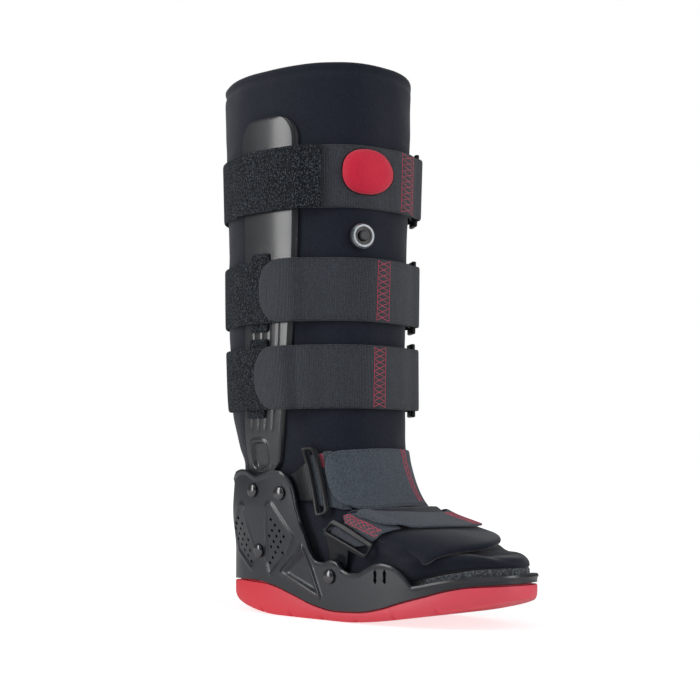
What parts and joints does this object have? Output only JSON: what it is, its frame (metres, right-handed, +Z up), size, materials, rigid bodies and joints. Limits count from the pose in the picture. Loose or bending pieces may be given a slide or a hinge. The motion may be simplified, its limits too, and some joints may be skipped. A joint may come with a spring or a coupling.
{
  "type": "medical walking boot",
  "caption": "Tall padded walking boot with a rocker sole, a wrap-round heel shell, flat side struts, hook-and-loop straps, an air bulb and a release valve.",
  "frame": {"origin": "on the floor, at the flat contact of the rocker sole, below the front of the leg", "axes": "+Z up the leg, -Y towards the toe, -X towards the wearer's right"},
  "size_m": [0.1414, 0.2969, 0.4343],
  "materials": {
    "red_rubber": "matte",
    "shell_plastic": "satin",
    "strut_plastic": "satin",
    "liner_foam": "soft matte",
    "felt": "fuzzy",
    "loop_pile": "fuzzy",
    "webbing": "fine ribbed",
    "ring_plastic": "satin",
    "rivet_steel": "dark polished",
    "bulb_red": "fine matte",
    "valve_metal": "satin",
    "button_grey": "satin"
  },
  "bodies": {
    "boot": {"ankle_bracket_left": "ring_plastic", "ankle_bracket_right": "ring_plastic", "ankle_strap": "webbing", "ankle_tab": "webbing", "band_lower": "loop_pile", "band_middle": "loop_pile", "band_top": "loop_pile", "felt_pad": "felt", "forefoot_bracket_left": "ring_plastic", "forefoot_bracket_right": "ring_plastic", "forefoot_strap": "webbing", "forefoot_tab": "webbing", "hook_lower": "webbing", "hook_middle": "webbing", "liner": "liner_foam", "outsole": "red_rubber", "patch_lower_left": "loop_pile", "patch_lower_right": "loop_pile", "patch_middle_left": "loop_pile", "patch_middle_right": "loop_pile", "pump_bulb": "bulb_red", "ring_lower": "ring_plastic", "ring_middle": "ring_plastic", "ring_top": "ring_plastic", "rivet_ankle_left": "rivet_steel", "rivet_ankle_right": "rivet_steel", "rivet_forefoot_left": "rivet_steel", "rivet_forefoot_right": "rivet_steel", "rivet_strut_lower_left": "rivet_steel", "rivet_strut_lower_right": "rivet_steel", "rivet_strut_upper_left": "rivet_steel", "rivet_strut_upper_right": "rivet_steel", "shell": "shell_plastic", "strut_left": "strut_plastic", "strut_right": "strut_plastic", "top_panel": "webbing", "upper_flap": "liner_foam", "valve_ring": "valve_metal"},
    "valve_button": {"valve_button": "button_grey"}
  },
  "joints": [
    {"name": "valve_press", "type": "slide", "parent": "boot", "child": "valve_button", "axis": [0.3574, 0.9335, 0.0306], "range_m": [0, 0.002], "stiffness_N_per_m": 150}
  ]
}
